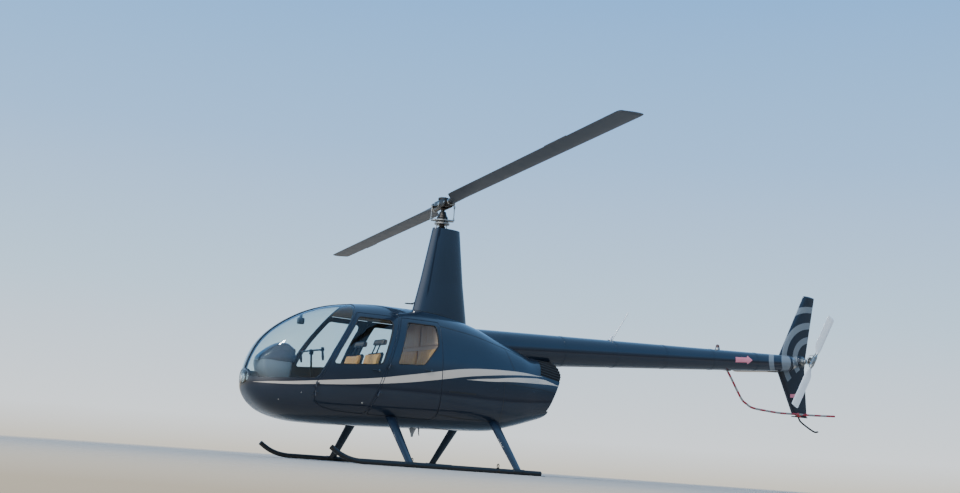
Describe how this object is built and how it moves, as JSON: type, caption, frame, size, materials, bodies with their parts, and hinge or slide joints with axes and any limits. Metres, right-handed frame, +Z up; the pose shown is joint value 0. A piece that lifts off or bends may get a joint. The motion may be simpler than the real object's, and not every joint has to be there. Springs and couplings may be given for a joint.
{
  "type": "light piston helicopter",
  "caption": "Four-seat light helicopter on skids with a two-bladed teetering rotor on a tall faired mast, a slim tail boom, a side tail rotor and hinged cabin doors.",
  "frame": {"origin": "on the ground plane under the helicopter, at the middle of its bounding box", "axes": "-X towards the nose, +X along the tail boom, +Y towards starboard, +Z up"},
  "size_m": [9.1287, 9.9766, 3.31],
  "materials": {
    "navy_paint": "gloss",
    "black_paint": "satin",
    "cabin_trim": "matte",
    "tan_leather": "satin",
    "dark_metal": "satin",
    "bare_aluminium": "satin",
    "blade_paint": "satin",
    "clear_plastic": "gloss",
    "lamp_lens": "gloss",
    "white_paint": "gloss",
    "red_and_white_paint": "gloss",
    "red_lens": "gloss"
  },
  "bodies": {
    "airframe": {"belly": "navy_paint", "nose_panel": "navy_paint", "landing_lamps": "lamp_lens", "roof": "navy_paint", "windshield_strip": "navy_paint", "front_post_left": "navy_paint", "front_post_right": "navy_paint", "middle_post_left": "navy_paint", "middle_post_right": "navy_paint", "windshield_left": "clear_plastic", "windshield_right": "clear_plastic", "rear_bulkhead": "cabin_trim", "engine_cowl": "navy_paint", "rear_grille": "black_paint", "engine_block": "dark_metal", "tailboom": "navy_paint", "mast_fairing": "navy_paint", "mast_and_lower_swashplate": "dark_metal", "tail_casting": "navy_paint", "tail_gearbox": "bare_aluminium", "upper_fin": "navy_paint", "lower_fin": "navy_paint", "horizontal_stabiliser": "navy_paint", "tail_guard": "red_and_white_paint", "tail_skid": "dark_metal", "skid_left": "black_paint", "skid_right": "black_paint", "front_leg_left": "navy_paint", "front_leg_right": "navy_paint", "rear_leg_left": "navy_paint", "rear_leg_right": "navy_paint", "front_seat_left": "tan_leather", "front_seat_right": "tan_leather", "rear_seat": "tan_leather", "instrument_console": "cabin_trim", "cyclic_control": "dark_metal", "collective_lever": "dark_metal", "pedals_left": "dark_metal", "pedals_right": "dark_metal", "pitot_tube": "dark_metal", "whip_antenna": "white_paint", "beacon": "red_lens"},
    "main_rotor_mast": {"rotor_shaft_and_links": "dark_metal"},
    "main_rotor_head": {"rotor_hub": "dark_metal", "main_blade_1": "blade_paint", "main_blade_2": "blade_paint"},
    "tail_rotor": {"tail_rotor_hub": "bare_aluminium", "tail_blade_1": "white_paint", "tail_blade_2": "white_paint"},
    "front_left_door": {"front_door_left": "navy_paint", "front_door_window_left": "clear_plastic"},
    "front_right_door": {"front_door_right": "navy_paint", "front_door_window_right": "clear_plastic"},
    "rear_left_door": {"rear_door_left": "navy_paint", "rear_door_window_left": "clear_plastic"},
    "rear_right_door": {"rear_door_right": "navy_paint", "rear_door_window_right": "clear_plastic"}
  },
  "joints": [
    {"name": "main_rotor_spin", "type": "hinge", "parent": "airframe", "child": "main_rotor_mast", "pos_m": [-2.205, 0, 3.1], "axis": [0, 0, 1], "continuous": true},
    {"name": "rotor_teeter", "type": "hinge", "parent": "main_rotor_mast", "child": "main_rotor_head", "pos_m": [-2.205, 0, 3.215], "axis": [0.9744, -0.225, 0], "range_deg": [-7, 7]},
    {"name": "tail_rotor_spin", "type": "hinge", "parent": "airframe", "child": "tail_rotor", "pos_m": [3.688, -0.33, 1.86], "axis": [0, 1, 0], "continuous": true},
    {"name": "front_left_door_hinge", "type": "hinge", "parent": "airframe", "child": "front_left_door", "pos_m": [-3.899, -0.578, 0.78], "axis": [0, 0, -1], "range_deg": [0, 70]},
    {"name": "front_right_door_hinge", "type": "hinge", "parent": "airframe", "child": "front_right_door", "pos_m": [-3.899, 0.578, 0.78], "axis": [0, 0, 1], "range_deg": [0, 70]},
    {"name": "rear_left_door_hinge", "type": "hinge", "parent": "airframe", "child": "rear_left_door", "pos_m": [-3.166, -0.65, 0.79], "axis": [-0.3171, 0, -0.9484], "range_deg": [0, 70]},
    {"name": "rear_right_door_hinge", "type": "hinge", "parent": "airframe", "child": "rear_right_door", "pos_m": [-3.166, 0.65, 0.79], "axis": [0.3171, 0, 0.9484], "range_deg": [0, 70]}
  ]
}
